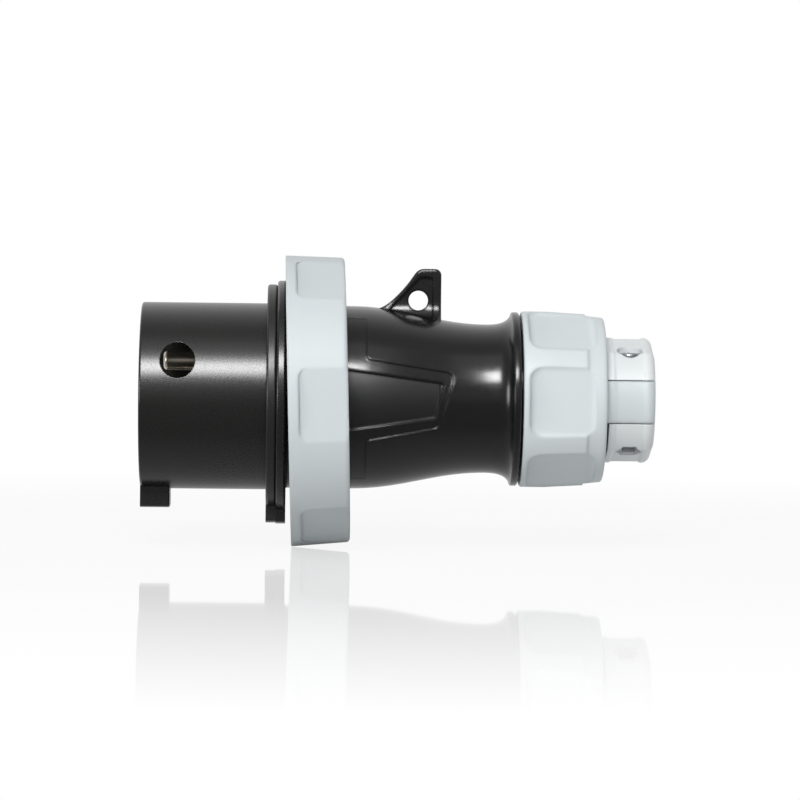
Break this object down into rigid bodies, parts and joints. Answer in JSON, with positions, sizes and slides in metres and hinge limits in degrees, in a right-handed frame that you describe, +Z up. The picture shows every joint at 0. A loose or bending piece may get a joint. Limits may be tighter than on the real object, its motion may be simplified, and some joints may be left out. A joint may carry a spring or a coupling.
{
  "type": "pin and sleeve plug",
  "caption": "Watertight pin and sleeve power plug: keyed black sleeve round brass pins, loose grey bayonet ring, waisted black housing with an eyelet, grey cable nut with a screwed cable clamp.",
  "frame": {"origin": "centre of the sleeve's front rim plane, on the plug's axis", "axes": "+X along the plug's axis towards the cable end, +Z up on the eyelet's side, -Y on the interlock hole's side"},
  "size_m": [0.1588, 0.0906, 0.0906],
  "materials": {
    "satin_black": "satin, fine moulded grain",
    "gloss_black": "glossy",
    "grey_plastic": "smooth satin gloss",
    "black_rubber": "matt",
    "carrier_plastic": "matt",
    "pin_brass": "nickel plated, turned",
    "zinc_steel": "zinc plated",
    "dark_steel": "dark zinc plated"
  },
  "bodies": {
    "plug_body": {"sleeve": "satin_black", "flange_gasket": "black_rubber", "body_seal": "black_rubber", "pin_carrier": "carrier_plastic", "carrier_plate": "carrier_plastic", "plate_screw": "zinc_steel", "line_pin": "pin_brass", "neutral_pin": "pin_brass", "earth_pin": "pin_brass", "terminal_screws": "zinc_steel", "wire_plates": "zinc_steel", "body_screws": "zinc_steel", "rear_housing": "gloss_black", "gland_grommet": "black_rubber"},
    "ring_slider": {"ring_washer": "satin_black"},
    "ring": {"locking_ring": "grey_plastic"},
    "nut_slider": {"gland_washer": "carrier_plastic"},
    "nut": {"cable_nut": "grey_plastic"},
    "clamp_top": {"clamp_saddle_top": "grey_plastic", "clamp_screws": "dark_steel"},
    "clamp_bottom": {"clamp_saddle_bottom": "grey_plastic", "clamp_nuts": "dark_steel"}
  },
  "joints": [
    {"name": "ring_slide", "type": "slide", "parent": "plug_body", "child": "ring_slider", "axis": [-1, 0, 0], "range_m": [-0.009, 0.0115]},
    {"name": "ring_turn", "type": "hinge", "parent": "ring_slider", "child": "ring", "pos_m": [0.05483, 0, -0.0011], "axis": [0.9996, 0, 0.0297], "continuous": true},
    {"name": "nut_travel", "type": "slide", "parent": "plug_body", "child": "nut_slider", "axis": [1, 0, 0], "range_m": [0, 0.0061]},
    {"name": "nut_turn", "type": "hinge", "parent": "nut_slider", "child": "nut", "pos_m": [0.13, 0, 0], "axis": [1, 0, 0], "range_deg": [0, 720]},
    {"name": "clamp_top_lift", "type": "slide", "parent": "nut", "child": "clamp_top", "axis": [0, 0, 1], "range_m": [0, 0.002]},
    {"name": "clamp_bottom_drop", "type": "slide", "parent": "nut", "child": "clamp_bottom", "axis": [0, 0, -1], "range_m": [0, 0.002]}
  ],
  "couplings": [
    {"joint": "nut_travel", "follows": "nut_turn", "m_per_rad": 0.00047746}
  ]
}
